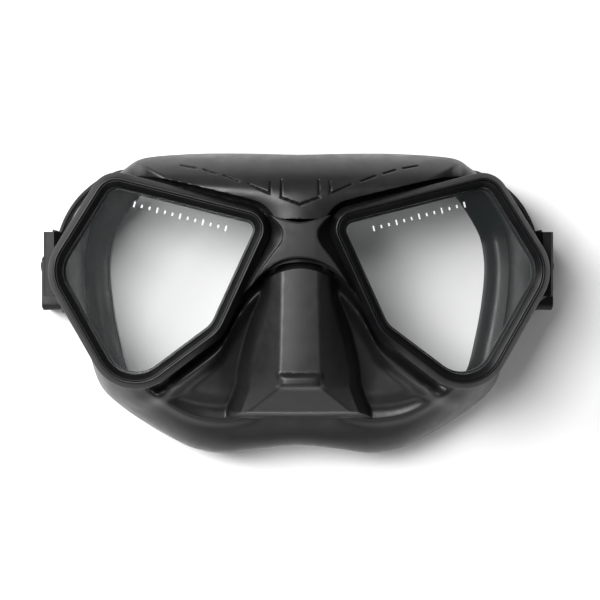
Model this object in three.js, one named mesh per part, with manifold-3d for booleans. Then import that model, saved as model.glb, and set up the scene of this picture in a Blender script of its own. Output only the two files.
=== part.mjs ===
// Two-lens diving mask lying face up on its skirt.
// Millimetres. +Z points out of the lenses, +Y towards the brow, +X to the right of someone
// looking at the lenses. The table is z = 0 and the mask is symmetric about x = 0.
import * as THREE from 'three';
import { ParametricGeometry } from 'three/addons/geometries/ParametricGeometry.js';
import { mergeVertices } from 'three/addons/utils/BufferGeometryUtils.js';
import Module from 'manifold-3d';

const wasm = await Module();
wasm.setup();

// ---- driving dimensions ------------------------------------------------------------------
const CREST_Z = 57;          // height of the rim crest on the centre line
const WRAP = 0.09;           // the front drops this much per millimetre towards the temples
const GAP = 0.3;             // clearance between neighbouring pieces

const RIM = {
  width: 5.2,                // outline to the glass edge
  crest: 2.3,                // outline to the crest
  depth: 12,                 // crest to the back of the outer wall
  wall: 2.6,                 // thickness of the outer wall
  shelfTop: -8.1,            // lens shelf, measured from the crest
  shelfBottom: -9.8,
};
// Corners of the right rim before rounding: x, y, corner radius.
const RIM_CORNERS = [
  [6.6, 30.6, 8.5],
  [66.3, 45.9, 9.5],
  [88.0, 11.4, 15.5],
  [60.4, -36.8, 16.2],
  [25.5, -10.7, 15],
];
const LENS_THICKNESS = 3.6;

const SKIRT_WALL = 1.8;
const LIP_WIDTH = 10.5;
const LIP_THICKNESS = 1.4;

const STRAP = { width: 14, thickness: 1.4, bottom: 2.3 };
const STRAP_Z = STRAP.bottom + STRAP.width / 2;
const PIVOT = { y: 4, z: STRAP_Z, radius: 1.6, head: 2.6 };
const LUG = { inner: 81.4, outer: 83.2, tab: 87.9, low: 2.5, high: 24.7, top: 36.7, bottom: 1.2 };
const ROLLER = { x: 88.1, y: 12.4, radius: 1.1, journal: 0.8 };
const LEVER = { x: 88.4, y: 3.4, pinRadius: 0.7 };
const BUCKLE = { inner: 83.5, floor: 84.9, outer: 90.4, front: -2.5, back: 17, cheek: 1.5 };

// ---- materials ---------------------------------------------------------------------------
const material = (name, color, roughness, metalness = 0, opacity = 1) =>
  new THREE.MeshStandardMaterial({
    name, color, roughness, metalness, opacity, transparent: opacity < 1,
  });
const SILICONE = material('silicone', 0x1b1b1c, 0.5);
const FRAME_PLASTIC = material('frame_plastic', 0x141415, 0.4);
const SOFT_PLASTIC = material('soft_plastic', 0x1c1c1d, 0.5);
const GLASS = material('lens_glass', 0xc9d2d0, 0.05, 0, 0.3);
const BUCKLE_PLASTIC = material('buckle_plastic', 0x161617, 0.45);
const STEEL = material('pin_steel', 0x9a9c9e, 0.3, 1);
const STRAP_RUBBER = material('strap_rubber', 0x18181a, 0.6);

// ---- small helpers -----------------------------------------------------------------------
const object = new THREE.Group();

function add(name, geometry, mat) {
  const mesh = new THREE.Mesh(geometry, mat);
  mesh.name = name;
  object.add(mesh);
}

function welded(geometry) {
  const bare = geometry.clone();
  bare.deleteAttribute('normal');
  bare.deleteAttribute('uv');
  return mergeVertices(bare, 1e-4);
}

function toSolid(geometry) {
  const bare = welded(geometry);
  return new wasm.Manifold(new wasm.Mesh({
    numProp: 3,
    vertProperties: new Float32Array(bare.attributes.position.array),
    triVerts: new Uint32Array(bare.index.array),
  }));
}

function toGeometry(solid) {
  const mesh = solid.getMesh();
  const geometry = new THREE.BufferGeometry();
  geometry.setAttribute('position', new THREE.BufferAttribute(mesh.vertProperties, 3));
  geometry.setIndex(new THREE.BufferAttribute(mesh.triVerts, 1));
  return geometry;
}

function flipFaces(geometry) {
  const index = geometry.index.array;
  for (let i = 0; i < index.length; i += 3) {
    const second = index[i + 1];
    index[i + 1] = index[i + 2];
    index[i + 2] = second;
  }
  return geometry;
}

function mirrored(geometry) {
  return flipFaces(welded(geometry).scale(-1, 1, 1));
}

// Moves each vertex by a rule that changes its position vector in place.
function reshape(geometry, rule) {
  const position = geometry.attributes.position;
  const point = new THREE.Vector3();
  for (let i = 0; i < position.count; i += 1) {
    point.fromBufferAttribute(position, i);
    rule(point);
    position.setXYZ(i, point.x, point.y, point.z);
  }
  return geometry;
}

// Lifts front parts, drawn about the crest at z = 0, onto the wrapped front.
function ontoFront(geometry) {
  return reshape(geometry, (p) => {
    p.z += CREST_Z - WRAP * Math.abs(p.x);
  });
}

function extrude(shape, z0, z1, curveSegments = 4) {
  return new THREE.ExtrudeGeometry(shape, { depth: z1 - z0, bevelEnabled: false, curveSegments })
    .translate(0, 0, z0);
}

// A pair of mirrored pieces named with their side.
function addPair(name, geometry, mat) {
  add(`${name}_right`, welded(geometry), mat);
  add(`${name}_left`, mirrored(geometry), mat);
}

const clamp01 = (t) => Math.min(1, Math.max(0, t));
const smoothMin = (a, b, k) => {
  const h = clamp01(0.5 + (b - a) / (2 * k));
  return b + (a - b) * h - k * h * (1 - h);
};
const smoothMax = (a, b, k) => -smoothMin(-a, -b, k);

// ---- rim outline: a polygon with rounded corners, offset inwards by any distance ----------
function offsetCorners(inset) {
  const n = RIM_CORNERS.length;
  const edges = RIM_CORNERS.map(([x, y], i) => {
    const [x2, y2] = RIM_CORNERS[(i + 1) % n];
    const length = Math.hypot(x2 - x, y2 - y);
    const normal = [(y2 - y) / length, -(x2 - x) / length];
    return { normal, distance: normal[0] * x + normal[1] * y + inset };
  });
  return RIM_CORNERS.map(([, , radius], i) => {
    const a = edges[(i + n - 1) % n];
    const b = edges[i];
    const det = a.normal[0] * b.normal[1] - a.normal[1] * b.normal[0];
    return {
      x: (a.distance * b.normal[1] - b.distance * a.normal[1]) / det,
      y: (b.distance * a.normal[0] - a.distance * b.normal[0]) / det,
      radius: Math.max(radius - inset, 1.5),
    };
  });
}

// Centre and tangent points of the rounding at one corner.
function corner(corners, i) {
  const n = corners.length;
  const at = new THREE.Vector2(corners[i].x, corners[i].y);
  const before = corners[(i + n - 1) % n];
  const after = corners[(i + 1) % n];
  const back = new THREE.Vector2(before.x, before.y).sub(at).normalize();
  const on = new THREE.Vector2(after.x, after.y).sub(at).normalize();
  const half = Math.acos(back.dot(on)) / 2;
  const reach = corners[i].radius / Math.tan(half);
  const middle = back.clone().add(on).normalize();
  const centre = at.clone().addScaledVector(middle, corners[i].radius / Math.sin(half));
  const start = at.clone().addScaledVector(back, reach);
  const end = at.clone().addScaledVector(on, reach);
  return { centre, start, end, radius: corners[i].radius };
}

function addArc(path, c) {
  const from = Math.atan2(c.start.y - c.centre.y, c.start.x - c.centre.x);
  const to = Math.atan2(c.end.y - c.centre.y, c.end.x - c.centre.x);
  path.absarc(c.centre.x, c.centre.y, c.radius, from, to, true);
}

const ARC_STEPS = [5, 4, 5, 6, 3];
// The same number of points at every inset, so that offset outlines pair up point by point.
function rimOutline(inset) {
  const corners = offsetCorners(inset);
  const points = [];
  corners.forEach((_, i) => {
    const c = corner(corners, i);
    const arc = new THREE.Path();
    addArc(arc, c);
    points.push(...arc.getPoints(ARC_STEPS[i]));
  });
  return points;
}

// A solid ring whose cross-section is a closed list of [inset, z].
function rimRing(section) {
  const loops = section.map(([inset, z]) => rimOutline(inset).map((p) => new THREE.Vector3(p.x, p.y, z)));
  const around = loops[0].length;
  const along = section.length;
  const geometry = new ParametricGeometry((u, v, target) => {
    target.copy(loops[Math.round(v * along) % along][Math.round(u * around) % around]);
  }, around, along);
  return flipFaces(welded(geometry));
}

// ---- front frame ---------------------------------------------------------------------------
const WEB = { bottom: -9, top: -4 };

// Right half of the web that joins the rims; its face at x = 0 meets its mirror image.
function bridgeWeb() {
  const web = new THREE.Shape();
  web.moveTo(0, 26.9);
  web.quadraticCurveTo(7, 27.6, 12.6, 30.2);
  web.lineTo(11.2, 25);
  web.lineTo(12.2, 21.5);
  web.lineTo(21.9, 0.2);
  web.lineTo(20.2, 1.2);
  web.bezierCurveTo(15.5, 7.5, 9, 14.2, 0, 14.2);
  return extrude(web, WEB.bottom, WEB.top, 6);
}

// Puts the right half of a piece onto the wrapped front and joins it to its mirror image.
function joinedHalves(solid) {
  const half = ontoFront(toGeometry(solid));
  return toGeometry(toSolid(half).add(toSolid(mirrored(half))));
}

function frame() {
  const { crest, depth, wall, shelfTop, shelfBottom } = RIM;
  const rim = rimRing([
    [0.5, -depth],
    [0.1, -7],
    [0, -3.2],
    [0.9, -1.3],
    [crest - 0.4, -0.1],
    [crest, 0],
    [wall, -0.2],
    [wall, shelfTop],
    [RIM.width + 0.6, shelfTop],
    [RIM.width + 0.6, shelfBottom],
    [wall, shelfBottom],
    [wall, -depth],
  ]);
  return joinedHalves(toSolid(rim).add(toSolid(bridgeWeb())));
}
add('frame', frame(), FRAME_PLASTIC);

// ---- bridge cover: hourglass saddle with an arched lower edge --------------------------------
function bridgeCover() {
  const cover = new THREE.Shape();
  cover.moveTo(0, 27.3);
  cover.quadraticCurveTo(6, 28, 10.2, 29.7);
  cover.splineThru([[8.4, 27.5], [6.4, 25.1], [6.0, 22.4], [7.0, 20.0], [10.6, 15.3], [13.8, 10.6],
    [17.0, 5.2]].map(([x, y]) => new THREE.Vector2(x, y)));
  cover.lineTo(18.9, 2.2);
  cover.lineTo(18.6, 0.6);
  cover.bezierCurveTo(14.6, 6.4, 8.4, 13.5, 0, 13.5);
  const half = reshape(extrude(cover, 0, 1), (p) => {
    const saddle = 1.5 - 0.006 * (p.y - 20) ** 2 - 0.05 * Math.max(0, p.x - 5);
    p.z = p.z > 0.5 ? saddle : WEB.top + GAP;
  });
  return joinedHalves(toSolid(half));
}
add('bridge_cover', bridgeCover(), SOFT_PLASTIC);

// ---- lenses and their bezels ---------------------------------------------------------------------
const LENS_BOTTOM = RIM.shelfTop + GAP;
const LENS_TOP = LENS_BOTTOM + LENS_THICKNESS;
const pane = extrude(new THREE.Shape(rimOutline(RIM.wall + 0.4)), LENS_BOTTOM, LENS_TOP);
addPair('lens', ontoFront(pane), GLASS);

const bezel = rimRing([
  [RIM.wall + 0.3, LENS_TOP + GAP],
  [RIM.wall + 0.3, -0.5],
  [RIM.wall + 0.7, -0.4],
  [RIM.width - 0.3, -2.9],
  [RIM.width, LENS_TOP + GAP],
]);
addPair('lens_retainer', ontoFront(bezel), FRAME_PLASTIC);

// ---- skirt ------------------------------------------------------------------------------------------
// Half of the front opening, from the centre of the brow round the temple to the nose arch.
function frontRing(inset) {
  const corners = offsetCorners(inset);
  const path = new THREE.Path();
  const pinch = 0.62;
  const leave = corner(corners, 4).end;
  path.moveTo(0, 25.6 - inset * pinch);
  path.lineTo(16.5, 32.6 - inset);
  [1, 2, 3, 4].forEach((i) => {
    const c = corner(corners, i);
    path.lineTo(c.start.x, c.start.y);
    addArc(path, c);
  });
  path.lineTo(leave.x - 3.6, leave.y + 7.9);
  path.quadraticCurveTo(13, 15.2 + inset * 0.4, 0, 15.4 + inset * pinch);
  return path;
}

// Edge of the face seal: position and height, with the matching place along the front opening.
const SEAL = [
  [0, 51.8, 27, 0], [18, 52.3, 26.5, 0.08], [36, 52.2, 25.5, 0.165], [50, 51, 23.8, 0.235],
  [58, 48.8, 22, 0.275], [62.5, 45.6, 19.2, 0.3], [66.5, 41.5, 13.5, 0.325], [70.5, 36.8, 7, 0.35],
  [74.5, 31, 1.8, 0.38], [77, 25, 0, 0.41], [78.5, 14, 0, 0.455], [77.5, 0, 0, 0.51],
  [75, -14, 0, 0.56], [70.9, -28.6, 2, 0.62], [63.8, -36, 5, 0.665], [54.3, -42.5, 7.5, 0.7],
  [44.6, -48, 9.5, 0.735], [36, -51.8, 10.5, 0.775], [25.5, -53.2, 12, 0.84], [14.3, -51.5, 15, 0.9],
  [0, -50, 17, 1],
];
const sealCurve = new THREE.CatmullRomCurve3(
  SEAL.map(([x, y, z]) => new THREE.Vector3(x, y, z)), false, 'catmullrom', 0.5,
);
function sealPoint(s) {
  const last = SEAL.length - 1;
  let i = 0;
  while (i < last - 1 && SEAL[i + 1][3] < s) i += 1;
  const t = (i + (s - SEAL[i][3]) / (SEAL[i + 1][3] - SEAL[i][3])) / last;
  const point = sealCurve.getPoint(clamp01(t));
  point.z = Math.max(0, point.z);
  return point;
}

// Nose pocket above the crest plane: ridge, steep flanks, lower facet and cross bar.
const NOSE = { top: 12.2, tip: -28.4, ridge: 6.2, flank: 1.75, facet: 1.2 };
function noseHeight(x, y) {
  const ax = Math.abs(x);
  const below = Math.max(0, NOSE.tip - y);
  const rise = 1.2 + 0.05 * (NOSE.top - y);
  const half = NOSE.ridge + 0.02 * (NOSE.top - Math.max(y, NOSE.tip)) + Math.min(below * 1.5, 12);
  let z = smoothMin(rise, rise - (ax - half) * NOSE.flank, 0.8);
  z = smoothMin(z, rise - (y - NOSE.top + 0.036 * x * x) * 8, 1.2);
  z = smoothMin(z, 2.6 - (NOSE.tip - y) * NOSE.facet, 1.2);
  const bar = Math.exp(-((ax / 7.4) ** 8) - (Math.abs(y + 26.1) / 2.5) ** 6);
  return z + 1.5 * bar;
}

// Forehead swelling between the rims: rises away from the rim edges and rolls over to the brow.
function browHeight(x, y) {
  const c = corner(offsetCorners(0), 0);
  const tangent = new THREE.Vector2(c.end.y - c.centre.y, c.centre.x - c.end.x).normalize();
  const p = new THREE.Vector2(Math.abs(x) - c.centre.x, y - c.centre.y);
  const along = p.dot(tangent);
  const out = new THREE.Vector2(-tangent.y, tangent.x);
  const clear = (along > 0 ? p.dot(out) : p.length()) - c.radius;
  const flank = -13 + (clear - 1) * 1.7;
  const roll = -30 + 28 * Math.sqrt(Math.max(0, 1 - ((Math.max(y, 34) - 34) / 18.4) ** 2));
  const shoulder = 0.035 * Math.max(0, Math.abs(x) - 38) ** 2;
  return Math.min(smoothMin(flank, roll, 2.5) - shoulder, -13 + (y - 27.6) * 7);
}

const ring0 = frontRing(1.9);
const ringBead = frontRing(2.95);
const ringInner = frontRing(5.2);

function outerWall(s, v) {
  const front = ring0.getPointAt(s);
  const seal = sealPoint(s);
  const temple = clamp01(1 - Math.abs(s - 0.46) / 0.12);
  const plan = 1 - (1 - v) ** (2.1 + 1.1 * temple);
  const x = front.x + (seal.x - front.x) * plan - 1.0 * temple * Math.sin(Math.PI * v);
  const y = front.y + (seal.y - front.y) * plan;
  const frontZ = CREST_Z - WRAP * Math.abs(front.x) - RIM.depth - 0.35;
  const base = frontZ + (seal.z + 1.6 - frontZ) * v;
  const lift = CREST_Z - WRAP * Math.abs(x);
  const fade = clamp01((1 - v) * 6) * clamp01(v * 12);
  let z = base;
  if (y > 20) z = smoothMax(base, lift + browHeight(x, y), 1.5);
  if (y < 20 && Math.abs(x) < 40) z = smoothMax(base, lift + noseHeight(x, y), 2.2);
  return new THREE.Vector3(x, y, base + (z - base) * fade);
}

function outerNormal(s, v) {
  const d = 0.004;
  const a = outerWall(Math.min(1, s + d), v).sub(outerWall(Math.max(0, s - d), v));
  const b = outerWall(s, Math.min(1, v + d)).sub(outerWall(s, Math.max(0, v - d)));
  return a.cross(b).normalize();
}

const WALL_STEPS = [0, 0.05, 0.11, 0.18, 0.26, 0.35, 0.45, 0.56, 0.68, 0.8, 0.91, 1];
function skirtLoop(s) {
  const seal = sealPoint(s);
  const next = sealPoint(Math.min(1, s + 0.002));
  const prev = sealPoint(Math.max(0, s - 0.002));
  const inward = new THREE.Vector3(next.y - prev.y, prev.x - next.x, 0).normalize();
  const atSeal = (inset, up) => seal.clone().addScaledVector(inward, inset).setZ(seal.z + up);
  const flat = ({ x, y }, z) => new THREE.Vector3(x, y, CREST_Z - WRAP * Math.abs(x) + z);
  const loop = WALL_STEPS.map((v) => outerWall(s, v));
  loop.push(atSeal(0.3, 0.5), atSeal(0.9, 0), atSeal(4.2, 0));
  loop.push(atSeal(LIP_WIDTH, 1.6), atSeal(LIP_WIDTH + 0.2, 2.2));
  loop.push(atSeal(LIP_WIDTH - 0.6, 1.6 + LIP_THICKNESS));
  loop.push(atSeal(4.4, LIP_THICKNESS + 1.2));
  WALL_STEPS.slice(1, -1).reverse().forEach((v) => {
    loop.push(outerWall(s, v).addScaledVector(outerNormal(s, v), -SKIRT_WALL));
  });
  const inner = ringInner.getPointAt(s);
  const bead = ringBead.getPointAt(s);
  const seated = inner.x > 25.5 || (inner.x > 20 && inner.y > 20);
  const beadTop = seated ? -10.2 : -12.4;
  loop.push(flat(inner, -14.2), flat(inner, beadTop), flat(bead, beadTop), flat(bead, -12.35));
  return loop;
}

function skirt() {
  const half = 38;
  const loops = [];
  for (let i = 0; i <= half; i += 1) loops.push(skirtLoop(i / half));
  const around = 2 * half;
  const along = loops[0].length;
  return welded(new ParametricGeometry((u, v, target) => {
    const i = Math.round(u * around) % around;
    const point = loops[i <= half ? i : around - i][Math.round(v * along) % along];
    target.copy(point);
    if (i > half) target.x = -point.x;
  }, around, along));
}
add('skirt', skirt(), SILICONE);

// ---- strap hardware, drawn for the right side --------------------------------------------------------
// Turns a shape drawn in y, z into a plate that spans x0 to x1.
function acrossX(shape, x0, x1, curveSegments = 4) {
  const turn = new THREE.Matrix4().makeBasis(
    new THREE.Vector3(0, 1, 0), new THREE.Vector3(0, 0, 1), new THREE.Vector3(1, 0, 0),
  );
  return extrude(shape, x0, x1, curveSegments).applyMatrix4(turn);
}

// Turns a shape drawn in x, z into a plate that spans y0 to y1.
function alongY(shape, y0, y1) {
  const turn = new THREE.Matrix4().makeBasis(
    new THREE.Vector3(1, 0, 0), new THREE.Vector3(0, 0, 1), new THREE.Vector3(0, -1, 0),
  );
  return extrude(shape, -y1, -y0).applyMatrix4(turn);
}

function roundedRect(x0, y0, x1, y1, r) {
  const shape = new THREE.Shape();
  shape.moveTo(x0 + r, y0);
  shape.lineTo(x1 - r, y0);
  shape.absarc(x1 - r, y0 + r, r, -Math.PI / 2, 0, false);
  shape.lineTo(x1, y1 - r);
  shape.absarc(x1 - r, y1 - r, r, 0, Math.PI / 2, false);
  shape.lineTo(x0 + r, y1);
  shape.absarc(x0 + r, y1 - r, r, Math.PI / 2, Math.PI, false);
  shape.lineTo(x0, y0 + r);
  shape.absarc(x0 + r, y0 + r, r, Math.PI, Math.PI * 1.5, false);
  return shape;
}

function rodX(radius, x0, x1) {
  return new THREE.CylinderGeometry(radius, radius, x1 - x0, 14)
    .rotateZ(Math.PI / 2).translate((x0 + x1) / 2, PIVOT.y, PIVOT.z);
}

function rodZ({ x, y }, radius, z0, z1) {
  return new THREE.CylinderGeometry(radius, radius, z1 - z0, 14)
    .rotateX(Math.PI / 2).translate(x, y, (z0 + z1) / 2);
}

function frameLug() {
  const { inner, outer, tab, low, high, top, bottom } = LUG;
  const side = new THREE.Shape([
    [84.3, top], [83, 32.5], [inner, 27], [inner, bottom], [outer, bottom], [outer, 23],
    [tab, 31], [tab, top - 0.9], [tab - 0.8, top],
  ].map(([x, z]) => new THREE.Vector2(x, z)));
  const face = new THREE.Shape();
  face.moveTo(low, top + 1);
  face.lineTo(low, 29);
  face.lineTo(PIVOT.y - 7.3, 18);
  face.lineTo(PIVOT.y - 7.3, PIVOT.z);
  face.absarc(PIVOT.y, PIVOT.z, 7.3, Math.PI, Math.PI * 2, false);
  face.lineTo(PIVOT.y + 7.3, 14);
  face.lineTo(high, 30);
  face.lineTo(high, top + 1);
  return toGeometry(toSolid(alongY(side, -10, 30))
    .intersect(toSolid(acrossX(face, inner - 2, tab + 1)))
    .subtract(toSolid(rodX(PIVOT.radius + GAP, inner - 1, outer + 1))));
}
addPair('frame_lug', frameLug(), FRAME_PLASTIC);

const pinProfile = [
  [0, 80.3], [PIVOT.head, 80.3], [PIVOT.head, LUG.inner - GAP], [PIVOT.radius, LUG.inner - GAP],
  [PIVOT.radius, BUCKLE.floor + GAP], [PIVOT.head, BUCKLE.floor + GAP], [PIVOT.head, 85.9], [0, 85.9],
].map(([r, x]) => new THREE.Vector2(r, x));
addPair('swivel_pin', new THREE.LatheGeometry(pinProfile, 14).rotateZ(-Math.PI / 2)
  .translate(0, PIVOT.y, PIVOT.z), STEEL);

const CHEEK_LOW = STRAP.bottom - GAP;
const CHEEK_HIGH = STRAP.bottom + STRAP.width + GAP;
function buckleBody() {
  const { inner, floor, outer, front, back, cheek } = BUCKLE;
  const base = roundedRect(front, CHEEK_LOW - cheek, back, CHEEK_HIGH + cheek, 2.5);
  const wall = roundedRect(inner, front, outer, back, 1.6);
  const channel = new THREE.Shape([
    [floor, front - 1], [outer + 1, front - 1], [outer + 1, back + 1], [floor, back + 1],
  ].map(([x, y]) => new THREE.Vector2(x, y)));
  return toGeometry(toSolid(acrossX(base, inner, outer + 1))
    .intersect(toSolid(extrude(wall, 0, 20)))
    .subtract(toSolid(extrude(channel, CHEEK_LOW, CHEEK_HIGH)))
    .subtract(toSolid(rodX(PIVOT.radius + GAP, inner - 1, floor + 1)))
    .subtract(toSolid(rodZ(ROLLER, ROLLER.journal + GAP, -1, 20)))
    .subtract(toSolid(rodZ(LEVER, LEVER.pinRadius + GAP, -1, 20))));
}
addPair('buckle_body', buckleBody(), BUCKLE_PLASTIC);

const rollerProfile = [
  [0, CHEEK_LOW - 1.3], [ROLLER.journal, CHEEK_LOW - 1.3], [ROLLER.journal, STRAP.bottom],
  [ROLLER.radius, STRAP.bottom], [ROLLER.radius, STRAP.bottom + STRAP.width],
  [ROLLER.journal, STRAP.bottom + STRAP.width], [ROLLER.journal, CHEEK_HIGH + 1.3], [0, CHEEK_HIGH + 1.3],
].map(([r, z]) => new THREE.Vector2(r, z));
addPair('strap_roller', new THREE.LatheGeometry(rollerProfile, 14).rotateX(Math.PI / 2)
  .translate(ROLLER.x, ROLLER.y, 0), STEEL);

function releaseLever() {
  const shape = new THREE.Shape();
  shape.moveTo(87.3, 0.6);
  shape.lineTo(87.5, 8.2);
  shape.quadraticCurveTo(87.8, 9.2, 88.8, 9.0);
  shape.lineTo(89.6, 8.4);
  shape.lineTo(89.7, 1.5);
  shape.lineTo(90.3, -1.6);
  shape.quadraticCurveTo(90.2, -2.6, 89.3, -2.4);
  shape.quadraticCurveTo(88.2, -1.6, 87.3, 0.6);
  return toGeometry(toSolid(extrude(shape, STRAP.bottom + 0.1, STRAP.bottom + STRAP.width - 0.1))
    .subtract(toSolid(rodZ(LEVER, LEVER.pinRadius + GAP, 0, 20))));
}
addPair('release_lever', releaseLever(), BUCKLE_PLASTIC);
addPair('lever_pin', rodZ(LEVER, LEVER.pinRadius, CHEEK_LOW - 1.3, CHEEK_HIGH + 1.3), STEEL);

// ---- strap: runs round the rollers and close under the brow of the skirt ----------------------------------
function strap() {
  const wrap = ROLLER.radius + GAP + STRAP.thickness / 2;
  const tail = new THREE.CatmullRomCurve3([
    [86.0, 26], [87.1, 22], [88.5, 17.6], [ROLLER.x + wrap, 14.2], [ROLLER.x + wrap, ROLLER.y],
  ].map(([x, y]) => new THREE.Vector3(x, y, 0))).getPoints(8);
  const round = new THREE.Path().absarc(ROLLER.x, ROLLER.y, wrap, 0, -Math.PI, true).getPoints(8)
    .map((p) => new THREE.Vector3(p.x, p.y, 0)).slice(1, -1);
  const run = new THREE.CatmullRomCurve3([
    [ROLLER.x - wrap, ROLLER.y], [ROLLER.x - wrap, 16], [84.7, 22.5], [82, 30], [77.8, 36.6],
    [72, 42], [66, 45.4], [60, 46.9], [45, 47.7], [0, 48.6],
  ].map(([x, y]) => new THREE.Vector3(x, y, 0))).getPoints(24);
  const right = [...tail, ...round, ...run];
  const left = right.slice(0, -1).reverse().map((p) => new THREE.Vector3(-p.x, p.y, 0));
  const route = [...right, ...left];
  const sides = [1, -1].map((side) => route.map((p, i) => {
    const before = route[Math.max(0, i - 1)];
    const after = route[Math.min(route.length - 1, i + 1)];
    const along = after.clone().sub(before).normalize();
    const offset = (side * STRAP.thickness) / 2;
    return new THREE.Vector2(p.x - along.y * offset, p.y + along.x * offset);
  }));
  const outline = new THREE.Shape([...sides[0], ...sides[1].reverse()]);
  return welded(extrude(outline, STRAP.bottom, STRAP.bottom + STRAP.width));
}
add('strap', strap(), STRAP_RUBBER);

function keeper() {
  const frameRect = roundedRect(-3.2, -8.2, 3.2, 8.2, 1.2);
  frameRect.holes.push(roundedRect(-2.3, -7.3, 2.3, 7.3, 0.6));
  return alongY(frameRect, -2, 2).rotateZ(THREE.MathUtils.degToRad(15)).translate(86.3, 21, STRAP_Z);
}
addPair('strap_keeper', keeper(), STRAP_RUBBER);

export default object;
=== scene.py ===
# Diving mask lying face up on a pale table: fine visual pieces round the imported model.
# Lengths in this file are millimetres until a mesh is made. The mask is symmetric about x = 0.
import math

import bpy
import numpy as np
from mathutils import Matrix, Vector


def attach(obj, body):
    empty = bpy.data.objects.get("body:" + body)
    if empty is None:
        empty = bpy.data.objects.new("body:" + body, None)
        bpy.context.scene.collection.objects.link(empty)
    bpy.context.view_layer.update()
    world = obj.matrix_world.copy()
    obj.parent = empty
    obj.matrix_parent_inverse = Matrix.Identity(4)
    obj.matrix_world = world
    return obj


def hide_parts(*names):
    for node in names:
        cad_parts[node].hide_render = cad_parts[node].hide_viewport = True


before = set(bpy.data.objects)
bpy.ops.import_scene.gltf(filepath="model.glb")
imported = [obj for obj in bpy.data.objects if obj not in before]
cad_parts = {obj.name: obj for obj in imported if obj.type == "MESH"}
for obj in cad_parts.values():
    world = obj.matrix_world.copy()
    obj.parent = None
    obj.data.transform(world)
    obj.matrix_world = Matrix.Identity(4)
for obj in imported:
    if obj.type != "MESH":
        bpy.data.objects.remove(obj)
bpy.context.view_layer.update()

MM = 0.001
SIDES = (("right", 1), ("left", -1))

# ---- driving dimensions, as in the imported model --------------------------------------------
CREST_Z = 57.0               # rim crest on the centre line
WRAP = 0.09                  # drop of the front per millimetre towards the temples
RIM_DEPTH = 12.0
RIM_CORNERS = [              # right rim's outline: x, y and corner radius
    (6.6, 30.6, 8.5),
    (66.3, 45.9, 9.5),
    (88.0, 11.4, 15.5),
    (60.4, -36.8, 16.2),
    (25.5, -10.7, 15.0),
]
LENS_TOP = -4.2
LENS_BOTTOM = -7.8
LENS_INSET = 3.0
LENS_CHAMFER = 0.3
STRAP_WIDTH = 14.0
STRAP_THICKNESS = 1.4
STRAP_BOTTOM = 2.3
ROLLER = (88.1, 12.4, 1.1)   # right roller: x, y and radius
SKIRT_WALL = 1.8
LIP_WIDTH = 10.5
LIP_THICKNESS = 1.4

# ---- mesh helpers --------------------------------------------------------------------------


def make_mesh(name, points, faces, material, smooth_angle=35.0):
    """A mesh object from millimetre points, smooth except across edges sharper than the angle."""
    mesh = bpy.data.meshes.new(name)
    mesh.from_pydata((np.asarray(points, dtype=float) * MM).tolist(), [], faces)
    mesh.validate()
    mesh.materials.append(material)
    mesh.shade_smooth()
    mesh.set_sharp_from_angle(angle=math.radians(smooth_angle))
    obj = bpy.data.objects.new(name, mesh)
    bpy.context.scene.collection.objects.link(obj)
    return obj


def belongs(obj, body, slot, *nodes):
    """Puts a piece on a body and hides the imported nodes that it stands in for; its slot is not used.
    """
    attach(obj, body)
    if nodes:
        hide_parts(*nodes)


def grid_faces(rows, columns, close_rows=False, close_columns=False):
    """Quads of a grid of points stored row by row."""
    faces = []
    for i in range(rows if close_rows else rows - 1):
        for j in range(columns if close_columns else columns - 1):
            a = i * columns + j
            b = i * columns + (j + 1) % columns
            c = ((i + 1) % rows) * columns + (j + 1) % columns
            d = ((i + 1) % rows) * columns + j
            faces.append((a, b, c, d))
    return faces


def end_caps(rows, columns):
    """The two faces that close a tube whose grid is closed across its columns."""
    first = tuple(range(columns - 1, -1, -1))
    last = tuple((rows - 1) * columns + k for k in range(columns))
    return [first, last]


def flipped(faces):
    return [tuple(reversed(face)) for face in faces]


def on_front(points):
    """Lifts points drawn about the crest onto the wrapped front."""
    out = np.array(points, dtype=float)
    out[:, 2] += CREST_Z - WRAP * np.abs(out[:, 0])
    return out


def sided(points, faces, side):
    """The right-hand piece as drawn, or its mirror image for side -1."""
    if side > 0:
        return points, faces
    return np.asarray(points) * (-1, 1, 1), flipped(faces)


def unit_rows(vectors):
    return vectors / np.linalg.norm(vectors, axis=1, keepdims=True)


# ---- curves and blends ---------------------------------------------------------------------


def smooth_min(a, b, k):
    """The lower of two heights, rounded over where they differ by less than k."""
    h = np.clip(0.5 + (b - a) / (2 * k), 0, 1)
    return b + (a - b) * h - k * h * (1 - h)


def smooth_max(a, b, k):
    return -smooth_min(-a, -b, k)


def soft_abs(x, radius=6.0):
    """|x| with its crease rounded, 0 at the middle."""
    return np.sqrt(x * x + radius * radius) - radius


def smoothstep(low, high, value):
    t = np.clip((value - low) / (high - low), 0, 1)
    return t * t * (3 - 2 * t)


def stretch_of(value, start, full, falling, end):
    """1 from full to falling, easing to 0 at start and end."""
    return smoothstep(start, full, value) * (1 - smoothstep(falling, end, value))


def bell(value, centre, width):
    return np.exp(-((value - centre) / width) ** 2)


def catmull(points, steps):
    """Points along a Catmull-Rom curve through the given ones, open at both ends."""
    p = np.asarray(points, dtype=float)
    p = np.vstack([2 * p[0] - p[1], p, 2 * p[-1] - p[-2]])
    t = np.linspace(0, 1, steps, endpoint=False)[:, None]
    parts = []
    for i in range(1, len(p) - 2):
        a, b, c, d = p[i - 1], p[i], p[i + 1], p[i + 2]
        parts.append(0.5 * (2 * b + (c - a) * t + (2 * a - 5 * b + 4 * c - d) * t ** 2
                            + (3 * b - a - 3 * c + d) * t ** 3))
    return np.vstack([*parts, p[-2:-1]])


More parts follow.
